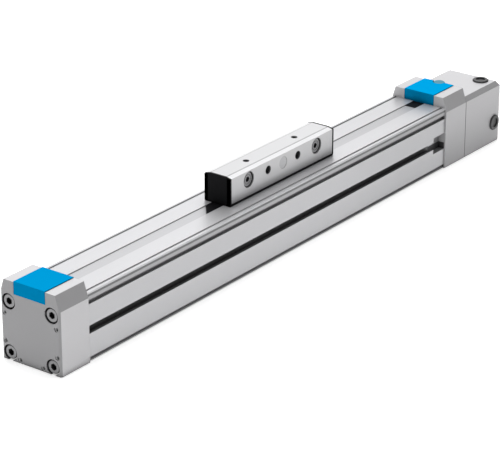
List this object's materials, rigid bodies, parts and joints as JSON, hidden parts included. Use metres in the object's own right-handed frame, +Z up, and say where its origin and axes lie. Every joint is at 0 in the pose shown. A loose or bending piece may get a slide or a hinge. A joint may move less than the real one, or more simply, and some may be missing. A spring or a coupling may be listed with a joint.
{
  "type": "ball screw linear axis",
  "caption": "Compact linear axis: slotted aluminium profile with a band-covered slot, a slide on top driven by an inner ball screw, end caps and an open housing for a motor coupling",
  "frame": {"origin": "middle of the axis's length and width, on the plane that the end caps stand on", "axes": "+X along the axis from the plain end cap to the drive housing, +Y to the back, +Z up out of the slide"},
  "size_m": [0.469, 0.0462, 0.0626],
  "materials": {
    "profile_aluminium": "clear anodised, extruded",
    "cap_aluminium": "clear anodised, milled",
    "slide_aluminium": "clear anodised, milled",
    "coupling_aluminium": "turned",
    "band_steel": "rolled and polished strip",
    "cover_blue": "moulded, satin",
    "black_plastic": "moulded",
    "screw_steel": "zinc plated",
    "disc_steel": "ground",
    "bearing_steel": "hardened and ground",
    "carriage_steel": "milled",
    "rubber": "moulded",
    "spider_rubber": "cast polyurethane"
  },
  "bodies": {
    "root": {"body_profile": "profile_aluminium", "near_end_cap": "cap_aluminium", "far_end_cap": "cap_aluminium", "drive_housing": "cap_aluminium", "near_cap_screws": "screw_steel", "far_cap_screws": "screw_steel", "drive_housing_screws": "screw_steel", "top_access_plug": "black_plastic", "side_access_plug": "black_plastic", "cover_band": "band_steel", "near_clamp_plate": "disc_steel", "far_clamp_plate": "disc_steel", "band_clamp_screws": "screw_steel", "near_band_cover": "cover_blue", "far_band_cover": "cover_blue", "cover_pin": "disc_steel", "near_band_insert": "black_plastic", "far_band_insert": "black_plastic", "guide_rail": "bearing_steel", "near_bumper": "rubber", "far_bumper": "rubber", "float_bearing_outer_ring": "bearing_steel", "fixed_bearing_outer_rings": "bearing_steel"},
    "carriage": {"slide_body": "slide_aluminium", "near_slide_end_plate": "black_plastic", "far_slide_end_plate": "black_plastic", "slide_strips": "black_plastic", "slide_clamp_screws": "screw_steel", "slide_locating_discs": "disc_steel", "inner_carriage": "carriage_steel", "guide_cassettes": "black_plastic", "near_guide_wiper": "black_plastic", "far_guide_wiper": "black_plastic", "ball_nut": "bearing_steel", "nut_screws": "screw_steel"},
    "screw": {"ball_screw": "bearing_steel", "float_bearing_inner_ring": "bearing_steel", "fixed_bearing_inner_rings": "bearing_steel", "lock_nut": "bearing_steel", "screw_coupling_hub": "coupling_aluminium", "coupling_spider": "spider_rubber", "motor_coupling_hub": "coupling_aluminium", "hub_clamp_screws": "screw_steel"}
  },
  "joints": [
    {"name": "screw_spin", "type": "hinge", "parent": "root", "child": "screw", "pos_m": [0, 0, 0.021], "axis": [1, 0, 0], "range_deg": [-3006, 4194]},
    {"name": "carriage_slide", "type": "slide", "parent": "root", "child": "carriage", "axis": [1, 0, 0], "range_m": [-0.1165, 0.0835], "deforming": ["cover_band"]}
  ],
  "couplings": [
    {"joint": "screw_spin", "follows": "carriage_slide", "rad_per_m": -628.32}
  ]
}
